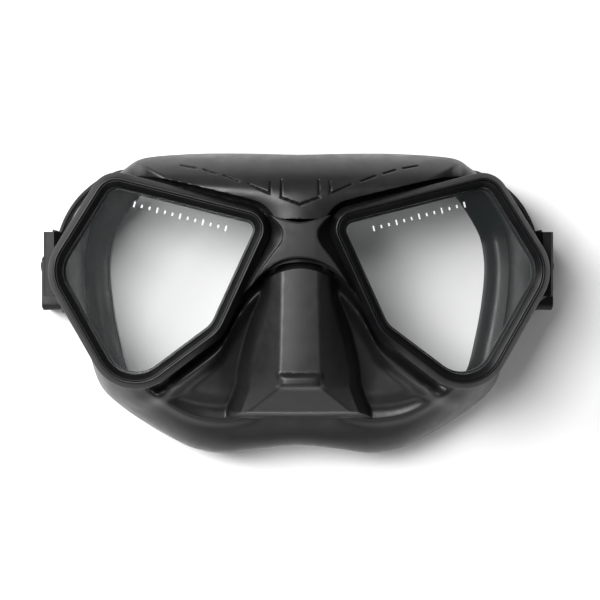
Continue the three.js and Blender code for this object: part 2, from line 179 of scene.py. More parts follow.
def along(points, fractions):
    """Points at the given fractions of a polyline's length."""
    steps = np.linalg.norm(np.diff(points, axis=0), axis=1)
    length = np.concatenate([[0], np.cumsum(steps)])
    where = np.asarray(fractions) * length[-1]
    return np.column_stack([np.interp(where, length, column) for column in points.T])


def stations(*runs):
    """Fractions from 0 to 1, in runs of (end, count) that each start where the last one ended."""
    start, parts = 0, []
    for end, count in runs:
        parts.append(np.linspace(start, end, count, endpoint=end == 1))
        start = end
    return np.concatenate(parts)


# ---- rounded outlines ----------------------------------------------------------------------


def fillet(corners, i):
    """Centre of one rounded corner, and the two ends of its arc measured from that centre."""
    corner, radius = np.array(corners[i][:2]), corners[i][2]
    back = np.array(corners[i - 1][:2]) - corner
    on = np.array(corners[(i + 1) % len(corners)][:2]) - corner
    back = back / np.linalg.norm(back)
    on = on / np.linalg.norm(on)
    half = math.acos(np.clip(back @ on, -1, 1)) / 2
    middle = (back + on) / np.linalg.norm(back + on)
    centre = corner + middle * radius / math.sin(half)
    reach = radius / math.tan(half)
    return centre, corner + back * reach - centre, corner + on * reach - centre


def rounded(corners, steps):
    """The arcs that round off a clockwise or anticlockwise polygon of (x, y, radius)."""
    arcs = []
    for i in range(len(corners)):
        centre, start, end = fillet(corners, i)
        sweep = math.atan2(start[0] * end[1] - start[1] * end[0], start @ end)
        turn = math.atan2(start[1], start[0]) + np.linspace(0, sweep, steps + 1)
        arcs.append(centre + corners[i][2] * np.column_stack([np.cos(turn), np.sin(turn)]))
    return arcs


SMALLEST_RADIUS = 1.5


def offset_corners(inset):
    """The rim's corner polygon moved inwards, with its radii reduced to match."""
    xy = np.array([c[:2] for c in RIM_CORNERS])
    edge = np.roll(xy, -1, axis=0) - xy
    normal = unit_rows(np.column_stack([edge[:, 1], -edge[:, 0]]))
    reach = np.sum(normal * xy, axis=1) + inset
    out = []
    for i, (_, _, radius) in enumerate(RIM_CORNERS):
        x, y = np.linalg.solve([normal[i - 1], normal[i]], [reach[i - 1], reach[i]])
        out.append((x, y, max(radius - inset, SMALLEST_RADIUS)))
    return out


ARC_STEPS = 14
STRAIGHT_STEPS = 8


def rim_outline(inset):
    """The rim outline at an inset, with the same number of points at every inset."""
    arcs = rounded(offset_corners(inset), ARC_STEPS)
    points = []
    for i, arc in enumerate(arcs):
        points.append(arc)
        start, end = arc[-1], arcs[(i + 1) % len(arcs)][0]
        t = np.linspace(0, 1, STRAIGHT_STEPS + 1)[1:-1, None]
        points.append(start + (end - start) * t)
    return np.vstack(points)


def rim_rows(profile):
    """The rim outline at each (inset, z) of a profile."""
    rows = []
    for inset, z in profile:
        outline = rim_outline(inset)
        rows.append(np.column_stack([outline, np.full(len(outline), z)]))
    return rows


# ---- materials -----------------------------------------------------------------------------

NOISE_LOW = 0.35             # noise values at which a layer reaches its two ends
NOISE_HIGH = 0.65


class Material:
    """A principled material with a few procedural layers."""

    def __init__(self, name, roughness, metallic=0.0, specular=0.5):
        self.material = bpy.data.materials.new(name)
        self.material.use_nodes = True
        self.nodes = self.material.node_tree.nodes
        self.links = self.material.node_tree.links
        self.shader = self.nodes["Principled BSDF"]
        self.shader.inputs["Roughness"].default_value = roughness
        self.shader.inputs["Metallic"].default_value = metallic
        self.shader.inputs["Specular IOR Level"].default_value = specular
        self.coordinates = self.nodes.new("ShaderNodeTexCoord").outputs["Object"]

    def noise(self, scale, detail, stretch=None):
        node = self.nodes.new("ShaderNodeTexNoise")
        node.inputs["Scale"].default_value = scale
        node.inputs["Detail"].default_value = detail
        source = self.coordinates
        if stretch:
            mapping = self.nodes.new("ShaderNodeMapping")
            mapping.inputs["Scale"].default_value = stretch
            self.links.new(source, mapping.inputs["Vector"])
            source = mapping.outputs["Vector"]
        self.links.new(source, node.inputs["Vector"])
        return node.outputs["Fac"]

    def ramp(self, source, low, high):
        node = self.nodes.new("ShaderNodeValToRGB")
        ends = ((NOISE_LOW, low), (NOISE_HIGH, high))
        for element, (place, value) in zip(node.color_ramp.elements, ends):
            element.position = place
            element.color = (*value, 1.0)
        self.links.new(source, node.inputs["Fac"])
        return node.outputs["Color"]

    def colour(self, source, low, high):
        self.links.new(self.ramp(source, low, high), self.shader.inputs["Base Color"])

    def vary_roughness(self, source, low, high):
        layer = self.ramp(source, (low, low, low), (high, high, high))
        self.links.new(layer, self.shader.inputs["Roughness"])

    def bump(self, source, strength, distance):
        node = self.nodes.new("ShaderNodeBump")
        node.inputs["Strength"].default_value = strength
        node.inputs["Distance"].default_value = distance
        self.links.new(source, node.inputs["Height"])
        self.links.new(node.outputs["Normal"], self.shader.inputs["Normal"])


def silicone():
    m = Material("silicone", 0.4, specular=0.36)
    m.colour(m.noise(70, 5), (0.0075, 0.0075, 0.008), (0.011, 0.011, 0.0115))
    m.vary_roughness(m.noise(240, 3), 0.34, 0.42)
    m.bump(m.noise(1800, 2), 0.08, 0.0002)
    return m.material


def frame_plastic():
    m = Material("frame_plastic", 0.35, specular=0.24)
    m.colour(m.noise(90, 4), (0.0025, 0.0025, 0.003), (0.004, 0.004, 0.0045))
    m.vary_roughness(m.noise(300, 3), 0.33, 0.42)
    m.bump(m.noise(2600, 2), 0.12, 0.00012)
    return m.material


def cover_plastic():
    m = Material("bridge_cover", 0.5, specular=0.35)
    m.colour(m.noise(80, 4), (0.006, 0.006, 0.0065), (0.009, 0.009, 0.0095))
    m.vary_roughness(m.noise(260, 3), 0.46, 0.55)
    m.bump(m.noise(2200, 2), 0.12, 0.00015)
    return m.material


def buckle_plastic():
    m = Material("buckle_plastic", 0.45, specular=0.35)
    m.colour(m.noise(120, 4), (0.004, 0.004, 0.0045), (0.007, 0.007, 0.0075))
    m.vary_roughness(m.noise(320, 3), 0.42, 0.52)
    m.bump(m.noise(3000, 2), 0.18, 0.00015)
    return m.material


def strap_rubber():
    m = Material("strap_rubber", 0.6, specular=0.35)
    m.colour(m.noise(100, 4), (0.005, 0.005, 0.0055), (0.009, 0.009, 0.0095))
    m.vary_roughness(m.noise(280, 3), 0.55, 0.66)
    m.bump(m.noise(2000, 3), 0.2, 0.0002)
    return m.material


def pin_steel():
    m = Material("pin_steel", 0.3, metallic=1.0)
    m.colour(m.noise(200, 3), (0.48, 0.49, 0.50), (0.60, 0.61, 0.62))
    m.vary_roughness(m.noise(900, 2, stretch=(1, 1, 0.05)), 0.24, 0.38)
    return m.material


def lens_glass():
    """Nearly clear glass that lets shadow rays through."""
    m = Material("lens_glass", 0.03, specular=0.15)
    m.colour(m.noise(12, 2), (0.10, 0.12, 0.12), (0.14, 0.16, 0.16))
    m.shader.inputs["Alpha"].default_value = 0.05
    m.vary_roughness(m.noise(60, 2), 0.02, 0.05)
    clear = m.nodes.new("ShaderNodeBsdfTransparent")
    path = m.nodes.new("ShaderNodeLightPath")
    mix = m.nodes.new("ShaderNodeMixShader")
    m.links.new(path.outputs["Is Shadow Ray"], mix.inputs["Fac"])
    m.links.new(m.shader.outputs["BSDF"], mix.inputs[1])
    m.links.new(clear.outputs["BSDF"], mix.inputs[2])
    m.links.new(mix.outputs["Shader"], m.nodes["Material Output"].inputs["Surface"])
    return m.material


def mark_paint():
    m = Material("lens_mark_paint", 0.6)
    m.colour(m.noise(500, 3), (0.55, 0.55, 0.55), (0.65, 0.65, 0.65))
    return m.material


def table_top():
    m = Material("table_top", 0.8, specular=0.2)
    m.colour(m.noise(3, 2), (0.86, 0.86, 0.86), (0.88, 0.88, 0.88))
    return m.material


SILICONE = silicone()
FRAME_PLASTIC = frame_plastic()
COVER = cover_plastic()
BUCKLE = buckle_plastic()
STRAP = strap_rubber()
STEEL = pin_steel()
GLASS = lens_glass()
MARK = mark_paint()

# ---- rims and bezels -----------------------------------------------------------------------
# Cross-sections: inset from the rim's outline, height from the crest, and corner radius.
RIM_SECTION = [
    (0.5, -RIM_DEPTH, 0.5),
    (0.0, -3.1, 1.2),
    (2.15, -0.02, 0.55),
    (2.68, -0.25, 0.1),
    (2.68, -8.1, 0.1),
    (5.8, -8.1, 0.2),
    (5.8, -9.8, 0.4),
    (2.6, -9.8, 0.2),
    (2.6, -RIM_DEPTH, 0.3),
]
BEZEL_SECTION = [
    (2.78, LENS_TOP + 0.25, 0.1),
    (2.78, -0.42, 0.25),
    (5.05, -3.05, 0.35),
    (5.2, LENS_TOP + 0.25, 0.1),
]
SECTION_STEPS = 4


def front_ring(piece, corners, side, node):
    """A ring of the given cross-section round one lens."""
    rows = rim_rows(np.vstack(rounded(corners, SECTION_STEPS)))
    faces = flipped(grid_faces(len(rows), len(rows[0]), close_rows=True, close_columns=True))
    points, faces = sided(np.vstack(rows), faces, side)
    ring = make_mesh(piece, on_front(points), faces, FRAME_PLASTIC, 60)
    belongs(ring, "mask", "frame_plastic", node)


for name, side in SIDES:
    front_ring(f"rim_{name}", RIM_SECTION, side, "frame")
    front_ring(f"bezel_{name}", BEZEL_SECTION, side, f"lens_retainer_{name}")

# ---- bridge: a cover over the web that joins the rims --------------------------------------
# Half outline of the cover, from its brow corner down its waist to the end of the leg.
COVER_SIDE = catmull([(10.3, 29.8), (8.2, 27.6), (6.4, 25.1), (6.0, 22.4), (7.0, 20.0), (10.6, 15.3),
                      (13.8, 10.6), (16.8, 5.6), (18.9, 2.2)], 10)
COVER_TOP = catmull([(-10.3, 29.8), (-5.4, 28.2), (0, 27.3), (5.4, 28.2), (10.3, 29.8)], 12)
COVER_ARCH = catmull([(-18.6, 0.6), (-15.9, 4.6), (-11.6, 9.4), (-6.2, 12.6), (0, 13.6), (6.2, 12.6),
                      (11.6, 9.4), (15.9, 4.6), (18.6, 0.6)], 12)
COVER_CROWN = (20, 1.5)      # y and height of its highest place
COVER_EDGE_RADIUS = 0.8
COVER_BOTTOM = -2.6
WEB_TOP = -2.8
WEB_BOTTOM = -9
WEB_SLOPE = 0.5              # fall per millimetre outside the cover


def eased(count):
    """Fractions from 0 to 1 that crowd towards both ends."""
    return 0.5 - 0.5 * np.cos(np.pi * np.linspace(0, 1, count))


def patch(top, bottom, side, rows, columns):
    """A grid over a four-sided area whose right side is given and whose left side mirrors it."""
    u, v = eased(columns), eased(rows)
    a, b = along(top, u), along(bottom, u)
    right = along(side, v)
    left = right * (-1, 1)
    uu, vv = u[None, :, None], v[:, None, None]
    corners = ((1 - uu) * (1 - vv) * a[0] + uu * (1 - vv) * a[-1]
               + (1 - uu) * vv * b[0] + uu * vv * b[-1])
    return (1 - vv) * a + vv * b + (1 - uu) * left[:, None] + uu * right[:, None] - corners


def edge_distance(xy, batch=400):
    """Distance of each grid point from the grid's border, worked out a batch at a time."""
    border = np.vstack([xy[0], xy[-1], xy[:, 0], xy[:, -1]])
    flat = xy.reshape(-1, 2)
    out = np.empty(len(flat))
    for i in range(0, len(flat), batch):
        away = np.linalg.norm(flat[i:i + batch, None] - border[None], axis=2)
        out[i:i + batch] = away.min(axis=1)
    return out.reshape(xy.shape[:2])


def slab(xy, top, bottom):
    """A closed solid over a grid, with heights for its upper face and a flat lower face."""
    rows, columns = xy.shape[:2]
    upper = np.dstack([xy, top]).reshape(-1, 3)
    lower = np.dstack([xy, np.full_like(top, bottom)]).reshape(-1, 3)
    index = np.arange(rows * columns).reshape(rows, columns)
    rim = np.concatenate([index[0, :-1], index[:-1, -1], index[-1, :0:-1], index[:0:-1, 0]])
    shift = rows * columns
    faces = grid_faces(rows, columns)
    faces += [tuple(k + shift for k in reversed(face)) for face in grid_faces(rows, columns)]
    for a, b in zip(rim, np.roll(rim, -1)):
        faces.append((b, a, a + shift, b + shift))
    return np.vstack([upper, lower]), flipped(faces)


def bridge_cover():
    """An arched saddle with a rounded edge, its ridge softened where the front's wrap folds it."""
    xy = patch(COVER_TOP, COVER_ARCH, COVER_SIDE, 40, 72)
    x, y = np.abs(xy[..., 0]), xy[..., 1]
    crown_y, crown = COVER_CROWN
    top = crown - 0.006 * (y - crown_y) ** 2 - 0.05 * np.maximum(0, x - 5)
    radius = COVER_EDGE_RADIUS
    inside = np.clip(edge_distance(xy), 0, radius)
    top = top - radius + np.sqrt(radius ** 2 - (radius - inside) ** 2)
    top = top + WRAP * (x - soft_abs(x))
    points, faces = slab(xy, top, COVER_BOTTOM)
    cover = make_mesh("bridge_cover_shell", on_front(points), faces, COVER, 40)
    belongs(cover, "mask", "soft_plastic", "bridge_cover")


def bridge_web():
    """The frame under the cover, falling away on both sides of it."""
    side = catmull([(12.6, 30.2), (11.2, 26), (11.6, 22.6), (13.0, 19.4), (17.4, 10), (21.7, 0.6)], 8)
    top = catmull([(-12.6, 30.2), (-7, 28), (0, 26.9), (7, 28), (12.6, 30.2)], 12)
    arch = catmull([(-20.4, 0.9), (-16.6, 5.3), (-12, 10.1), (-6.4, 13.3), (0, 14.3), (6.4, 13.3),
                    (12, 10.1), (16.6, 5.3), (20.4, 0.9)], 12)
    xy = patch(top, arch, side, 36, 60)
    x, y = np.abs(xy[..., 0]), xy[..., 1]
    order = np.argsort(COVER_SIDE[:, 1])
    edge = np.interp(y, COVER_SIDE[order, 1], COVER_SIDE[order, 0])
    height = WEB_TOP - WEB_SLOPE * np.maximum(0, x - edge)
    points, faces = slab(xy, height, WEB_BOTTOM)
    web = make_mesh("bridge_web", on_front(points), faces, FRAME_PLASTIC, 40)
    belongs(web, "mask", "frame_plastic", "frame")


bridge_cover()
bridge_web()

# ---- lenses with a plain row of etched ticks -----------------------------------------------


def lens(name, side):
    rows = rim_rows([
        (LENS_INSET + LENS_CHAMFER, LENS_BOTTOM),
        (LENS_INSET, LENS_BOTTOM + LENS_CHAMFER),
        (LENS_INSET, LENS_TOP - LENS_CHAMFER),
        (LENS_INSET + LENS_CHAMFER, LENS_TOP),
    ])
    size = len(rows), len(rows[0])
    faces = grid_faces(*size, close_columns=True) + end_caps(*size)
    points, faces = sided(np.vstack(rows), flipped(faces), side)
    pane = make_mesh(f"lens_pane_{name}", on_front(points), faces, GLASS, 20)
    belongs(pane, "mask", "lens_glass", f"lens_{name}")


TICKS = 13
TICK_ROW = (56.0, 33.6), (25.0, 25.4)  # first and last centre
LONG_TICK, SHORT_TICK = 0.95, 0.55     # half lengths
TICK_HALF_WIDTH = 0.28
TICK_BOTTOM = LENS_TOP - 0.01
TICK_TOP = LENS_TOP + 0.05
SQUARE = ((-1, -1), (1, -1), (1, 1), (-1, 1))
BOX_FACES = ((0, 3, 2, 1), (4, 5, 6, 7), (0, 1, 5, 4), (1, 2, 6, 5), (2, 3, 7, 6), (3, 0, 4, 7))


def lens_ticks(name, side):
    """A row of small upright marks below the brow edge of the pane, every third one longer."""
    start, end = np.array(TICK_ROW)
    step = (end - start) / (TICKS - 1)
    direction = step / np.linalg.norm(step)
    across = np.array([-direction[1], direction[0]])
    points, faces = [], []
    for i in range(TICKS):
        centre = start + step * i
        length = LONG_TICK if i % 3 == 0 else SHORT_TICK
        ring = [centre + direction * a * TICK_HALF_WIDTH + across * b * length for a, b in SQUARE]
        base = len(points)
        points += [(*p, z) for z in (TICK_BOTTOM, TICK_TOP) for p in ring]
        faces += [tuple(base + k for k in face) for face in BOX_FACES]
    points, faces = sided(np.array(points), flipped(faces), side)
    ticks = make_mesh(f"lens_ticks_{name}", on_front(points), faces, MARK)
    belongs(ticks, "mask", "lens_glass")


for name, side in SIDES:
    lens(name, side)
    lens_ticks(name, side)

# ---- skirt: seal edge and front opening ----------------------------------------------------
# Edge of the face seal: x, y, z and the matching fraction along the front opening.
SEAL = np.array([
    (0, 51.8, 27, 0), (18, 52.3, 26.5, 0.08), (36, 52.2, 25.5, 0.165), (50, 51, 23.8, 0.235),
    (58, 48.8, 22, 0.275), (62.5, 45.6, 19.2, 0.3), (66.5, 41.5, 13.5, 0.325), (70.5, 36.8, 7, 0.35),
    (74.5, 31, 1.8, 0.38), (77, 25, 0, 0.41), (78.5, 14, 0, 0.455), (77.5, 0, 0, 0.51),
    (75, -14, 0, 0.56), (70.9, -28.6, 2, 0.62), (63.8, -36, 5, 0.665), (54.3, -42.5, 7.5, 0.7),
    (44.6, -48, 9.5, 0.735), (36, -51.8, 10.5, 0.775), (25.5, -53.2, 12, 0.84), (14.3, -51.5, 15, 0.9),
    (0, -50, 17, 1),
])
FINE = np.linspace(0, 1, 1601)
SEAL_BLUR = 14               # in steps of FINE, as is the next
RING_BLUR = 10


def blurred(values, sigma):
    """Smooths samples along their first axis, mirrored at both ends in x and plain in y and z."""
    reach = int(3 * sigma) + 1
    weights = np.exp(-0.5 * (np.arange(-reach, reach + 1) / sigma) ** 2)
    weights /= weights.sum()
    mirror = np.ones(values.shape[1])
    mirror[0] = -1
    wide = np.vstack([values[reach:0:-1] * mirror, values, values[-2:-reach - 2:-1] * mirror])
    return np.column_stack([np.convolve(column, weights, mode="valid") for column in wide.T])


def seal_table():
    """The seal's edge at every fraction in FINE, carried past both ends to stay smooth there."""
    before = SEAL[1:4][::-1] * (-1, 1, 1, -1)
    after = SEAL[-4:-1][::-1] * (-1, 1, 1, 1)
    after[:, 3] = 2 - after[:, 3]
    curve = catmull(np.vstack([before, SEAL, after]), 30)
    table = np.column_stack([np.interp(FINE, curve[:, 3], curve[:, k]) for k in range(3)])
    table = blurred(table, SEAL_BLUR)
    table[:, 2] = np.maximum(0, table[:, 2])
    return table


def ring_table(inset):
    """Half a loop inside the rims, from the middle of the brow round one lens to the arch."""
    arcs = rounded(offset_corners(inset), 40)
    brow = np.array([[0, 25.6 - inset * 0.62], [16.5, 32.6 - inset]])
    leg_end = arcs[4][-1] + (-3.6, 7.9)
    bend = np.array([13, 15.2 + inset * 0.4])
    crown = np.array([0, 15.4 + inset * 0.62])
    t = np.linspace(0, 1, 30)[:, None]
    arch = (1 - t) ** 2 * leg_end + 2 * t * (1 - t) * bend + t ** 2 * crown
    path = np.vstack([brow, *arcs[1:5], arch])
    return blurred(along(path, FINE), RING_BLUR)


SEAL_TABLE = seal_table()
RING = ring_table(1.9)       # where the outer wall starts, under the rims
BEAD = ring_table(2.95)      # outside and inside of the bead that seats in the frame
INNER = ring_table(5.2)


def at(table, s):
    return np.stack([np.interp(s, FINE, column) for column in table.T], axis=-1)


# ---- skirt: brow ---------------------------------------------------------------------------
BROW_FOOT = -13              # where the steep sides of the brow start
RIM_GAP = 0.6                # clearance from the rims at which they start
FLANK_SLOPE = 8
SHELF_START = -3.4
SHELF_RISE = 0.32
SHELF_WIDTH = 7.0
TEMPLE_START = 38            # x from which the shelf falls off
TEMPLE_FALL = 0.035
ROLL_START = 33              # y from which the forehead rolls over, as a quarter of an ellipse
ROLL_LENGTH = 19.4
ROLL_BOTTOM = -30
ROLL_HEIGHT = 28.5
BRIDGE_END = 27.6            # y at which the brow stops before the bridge cover
BRIDGE_END_SLOPE = 14
GROOVE_DEPTH = 0.8
GROOVE_WIDTH = 0.27
GROOVES = [                  # line segments on the right half, from (x, y) to (x, y)
    ((40.4, 47.0), (35.2, 46.0)), ((32.6, 45.4), (28.4, 44.0)), ((25.6, 43.2), (20.6, 41.2)),
    ((17.3, 40.2), (10.2, 37.0)), ((10.2, 37.0), (10.0, 41.0)), ((6.4, 35.7), (0, 33.3)),
    ((6.4, 35.7), (6.2, 41.5)),
]


def rim_clearance(x, y):
    """Distance outside the top edge or nasal corner of a rim."""
    centre = fillet(RIM_CORNERS, 0)[0]
    radius = RIM_CORNERS[0][2]
    direction = np.array(RIM_CORNERS[1][:2]) - np.array(RIM_CORNERS[0][:2])
    direction /= np.linalg.norm(direction)
    outward = np.array([-direction[1], direction[0]])
    px, py = np.abs(x) - centre[0], y - centre[1]
    on = px * direction[0] + py * direction[1]
    return np.where(on > 0, px * outward[0] + py * outward[1], np.hypot(px, py)) - radius


def groove(x, y):
    """1 on the brow's grooves and 0 away from them."""
    depth = np.zeros_like(x)
    for (ax, ay), (bx, by) in GROOVES:
        ex, ey = bx - ax, by - ay
        t = np.clip(((x - ax) * ex + (y - ay) * ey) / (ex * ex + ey * ey), 0, 1)
        distance = np.hypot(x - ax - t * ex, y - ay - t * ey)
        depth = np.maximum(depth, bell(distance, 0, GROOVE_WIDTH))
    return depth


def brow_height(x, y):
    """The brow from the crest: a rising shelf that rolls over the forehead."""
    clear = rim_clearance(x, y)
    ax = np.abs(x)
    flank = BROW_FOOT + (clear - RIM_GAP) * FLANK_SLOPE
    shelf = SHELF_START + SHELF_RISE * smooth_min(clear, SHELF_WIDTH, 4)
    shelf = shelf - TEMPLE_FALL * np.maximum(0, ax - TEMPLE_START) ** 2
    rolled = (np.maximum(y, ROLL_START) - ROLL_START) / ROLL_LENGTH
    roll = ROLL_BOTTOM + ROLL_HEIGHT * np.sqrt(np.maximum(0, 1 - rolled ** 2))
    height = smooth_min(smooth_min(shelf, roll, 1.6), flank, 0.8)
    height = np.minimum(height, BROW_FOOT + (y - BRIDGE_END) * BRIDGE_END_SLOPE)
    return height - GROOVE_DEPTH * groove(ax, y)


# ---- skirt: nose pocket --------------------------------------------------------------------
NOSE_TOP = 12.2              # y of the ridge's two ends
NOSE_TIP = -28.4
RIDGE_START = 1.2            # height and half width of the flat strip at its top end
STRIP_HALF_WIDTH = 6.2
RIDGE_RISE = 0.05            # growth of both per millimetre towards the tip
STRIP_WIDENING = 0.02
FACET_WIDTH = 4              # sloped facet on each side of the strip, at the top end
FACET_WIDENING = 6.2
FACET_SLOPE = 0.95
SIDE_SLOPE = 3.6
END_SLOPE = 8
TIP_HEIGHT = 2.9             # lower facet: its start, slope, the y where it ends and its fall
TIP_SLOPE = 1.15
TIP_END = -36.9
TIP_FALL = 9.6
BAR_Y = -25.9                # glossy cross bar at the tip
BAR_HALF_LENGTH = 7.3
BAR_HALF_WIDTH = 2.2
BAR_HEIGHT = 2.2


def nose_height(x, y):
    """The nose pocket from the crest: a flat strip, two facets, steep sides and a lower facet."""
    ax = np.abs(x)
    below = np.maximum(0, NOSE_TIP - y)
    down = NOSE_TOP - np.maximum(y, NOSE_TIP)
    ridge = RIDGE_START + RIDGE_RISE * down
    half = STRIP_HALF_WIDTH + STRIP_WIDENING * down
    facet = FACET_WIDTH + FACET_WIDENING * smoothstep(8, -24, y) + np.minimum(below * 0.35, 3)
    near = ridge - FACET_SLOPE * (ax - half)
    far = ridge - FACET_SLOPE * facet - SIDE_SLOPE * (ax - half - facet)
    z = smooth_min(ridge, smooth_min(near, far, 2.2), 0.5)
    z = smooth_min(z, ridge - (y - NOSE_TOP + 0.036 * x * x) * END_SLOPE, 0.8)
    z = smooth_min(z, TIP_HEIGHT - below * TIP_SLOPE, 0.35)
    z = smooth_min(z, TIP_HEIGHT - TIP_FALL - (TIP_END - y) * END_SLOPE, 0.8)
    bar = np.exp(-((ax / BAR_HALF_LENGTH) ** 10) - (np.abs(y - BAR_Y) / BAR_HALF_WIDTH) ** 6)
    return z + BAR_HEIGHT * bar


# ---- skirt: outer wall ---------------------------------------------------------------------
# Fractions along the front opening, from the middle of the brow (0) to the nose (1).
TEMPLE = 0.46
TEMPLE_REACH = 0.12
WALL_POWER = 2.1             # how fast the wall spreads below the frame
TEMPLE_POWER = 1.1           # added to it at the temples
TEMPLE_WAIST = 1.0
LENS_POD = 0.66, 0.76, 0.955, 0.99       # raised welt below each lens
CHEEK_RIDGE = 0.64, 0.72, 0.88, 0.93     # ridge and hollow beside the seal
POD_HEIGHT = 5.0
CHEEK_HEIGHT = 1.2
FRAME_GAP = 0.35
SEAL_RISE = 1.6              # height of the wall's foot over the seal's edge
BROW_FADE = 52, 62           # x over which the brow shape gives way to the plain wall
BROW_Y = 20                  # the brow lies beyond this y
NOSE_REACH = 42              # and the nose pocket, before it, within this x


def outer_wall(s, v):
    """The skirt's outer face: s runs from brow to nose and v from the frame to the face seal."""
    front, seal = at(RING, s), at(SEAL_TABLE, s)
    temple = np.clip(1 - np.abs(s - TEMPLE) / TEMPLE_REACH, 0, 1)
    plan = 1 - (1 - v) ** (WALL_POWER + TEMPLE_POWER * temple)
    x = front[..., 0] + (seal[..., 0] - front[..., 0]) * plan
    x = x - TEMPLE_WAIST * temple * np.sin(np.pi * v)
    y = front[..., 1] + (seal[..., 1] - front[..., 1]) * plan
    front_z = CREST_Z - WRAP * np.abs(front[..., 0]) - RIM_DEPTH - FRAME_GAP
    base = front_z + (seal[..., 2] + SEAL_RISE - front_z) * v
    from_ring = np.hypot(x - front[..., 0], y - front[..., 1])
    from_seal = np.hypot(x - seal[..., 0], y - seal[..., 1])
    base = base + POD_HEIGHT * stretch_of(s, *LENS_POD) * bell(from_ring, 7.2, 3.0)
    relief = CHEEK_HEIGHT * bell(from_seal, 12.5, 2.0) - CHEEK_HEIGHT * bell(from_seal, 17.5, 3.0)
    base = base + stretch_of(s, *CHEEK_RIDGE) * relief
    crest = CREST_Z - WRAP * soft_abs(x)
    brow = smooth_max(base, crest + brow_height(x, y), 1.2)
    brow = base + (brow - base) * (1 - smoothstep(*BROW_FADE, np.abs(x)))
    nose = smooth_max(base, crest + nose_height(x, y), 3.5)
    shaped = np.where(y > BROW_Y, brow, np.where(np.abs(x) < NOSE_REACH, nose, base))
    off_edges = np.clip((1 - v) * 6, 0, 1) * np.clip(v * 60, 0, 1)
    return np.stack([x, y, base + (shaped - base) * off_edges], axis=-1)


NORMAL_STEP = 0.006
TANGENT_STEP = 0.004


def outer_normal(s, v):
    """Unit normal of the outer wall, pointing out, from differences along s and v."""
    d = NORMAL_STEP
    a = outer_wall(np.minimum(1, s + d), v) - outer_wall(np.maximum(0, s - d), v)
    b = outer_wall(s, np.minimum(1, v + d)) - outer_wall(s, np.maximum(0, v - d))
    n = np.cross(a, b)
    return n / np.maximum(np.linalg.norm(n, axis=-1, keepdims=True), 1e-9)


def evened(field, rounds):
    """Averages a grid of vectors with its neighbours, leaving the grid's border as it is."""
    field = field.copy()
    for _ in range(rounds):
        middle = field[1:-1, 1:-1]
        around = field[:-2, 1:-1] + field[2:, 1:-1] + field[1:-1, :-2] + field[1:-1, 2:]
        field[1:-1, 1:-1] = (middle * 4 + around) / 8
    return field


# ---- skirt: moulding -----------------------------------------------------------------------
ROUND = stations((0.3, 220), (0.62, 60), (1, 160))     # from brow to nose
DEEP = stations((0.08, 16), (0.62, 84), (1, 32))       # from frame to seal
BACK = np.linspace(0.93, 0.03, 44)                     # the inner wall's, from seal to frame
LIP_FLAT_END = 4.2           # the seal lies flat from its edge to here, then rises
BEAD_ROOT = -14.2
BEAD_FOOT = -12.45
BEAD_TOP = -10.2             # seated in a rim
BEAD_TOP_OUTSIDE = -12.4     # where the bead has left the rims
RIM_START = 20               # x from which the brow side of the bead is in a rim
NOSE_RIM_START = 25.5        # and x from which its nose side is


def lip_profile():
    """(inset, height) from the wall's foot round the seal's lip and back along its upper face."""
    def risen(inset):
        past = inset - LIP_FLAT_END
        return 0.08 * past + 0.025 * past ** 2

    edge = [(0.1, 0.9), (0.35, 0.4), (0.9, 0.08), (1.6, 0), (LIP_FLAT_END, 0)]
    under = [(inset, risen(inset)) for inset in (5.5, 7, 8.5, 9.6)]
    tip = [(LIP_WIDTH, 1.5), (LIP_WIDTH + 0.25, 1.9), (LIP_WIDTH, 2.4)]
    over = [(inset, risen(inset) + LIP_THICKNESS + 0.2) for inset in (9.2, 7.5, 6)]
    return edge + under + tip + over + [(4.6, LIP_THICKNESS + 1.0)]


def seal_lip():
    """The lip's points, one column for each place in its profile."""
    seal = at(SEAL_TABLE, ROUND)
    ahead = at(SEAL_TABLE, np.minimum(1, ROUND + TANGENT_STEP))
    behind = at(SEAL_TABLE, np.maximum(0, ROUND - TANGENT_STEP))
    tangent = ahead - behind
    inward = unit_rows(np.column_stack([tangent[:, 1], -tangent[:, 0]]))
    columns = [np.column_stack([seal[:, :2] + inward * inset, seal[:, 2] + up])
               for inset, up in lip_profile()]
    return np.stack(columns, axis=1)


def frame_bead():
    """The bead inside the front opening, lowered where the opening has left the rims."""
    foot = at(INNER, ROUND)
    x, y = foot[:, 0], foot[:, 1]
    seated = (x > NOSE_RIM_START) | ((x > RIM_START) & (y > BROW_Y))
    top = np.where(seated, BEAD_TOP, BEAD_TOP_OUTSIDE)
    columns = []
    for table, z in ((INNER, BEAD_ROOT), (INNER, top), (BEAD, top), (BEAD, BEAD_FOOT)):
        xy = at(table, ROUND)
        columns.append(np.column_stack([xy, CREST_Z - WRAP * np.abs(xy[:, 0]) + z]))
    return np.stack(columns, axis=1)


def skirt():
    """One closed moulding: outer wall, lip, inner wall and bead, each station a closed loop."""
    s = ROUND[:, None]
    outer = outer_wall(s, DEEP[None, :])
    thickness = evened(outer_normal(s, BACK[None, :]), 8) * SKIRT_WALL
    inner = evened(outer_wall(s, BACK[None, :]), 3) - thickness
    half = np.concatenate([outer, seal_lip(), inner, frame_bead()], axis=1)
    other = half[-2:0:-1] * (-1, 1, 1)
    loops = np.concatenate([half, other], axis=0)
    faces = flipped(grid_faces(*loops.shape[:2], close_rows=True, close_columns=True))
    moulding = make_mesh("skirt_moulding", loops.reshape(-1, 3), faces, SILICONE, 42)
    belongs(moulding, "mask", "silicone", "skirt")


skirt()

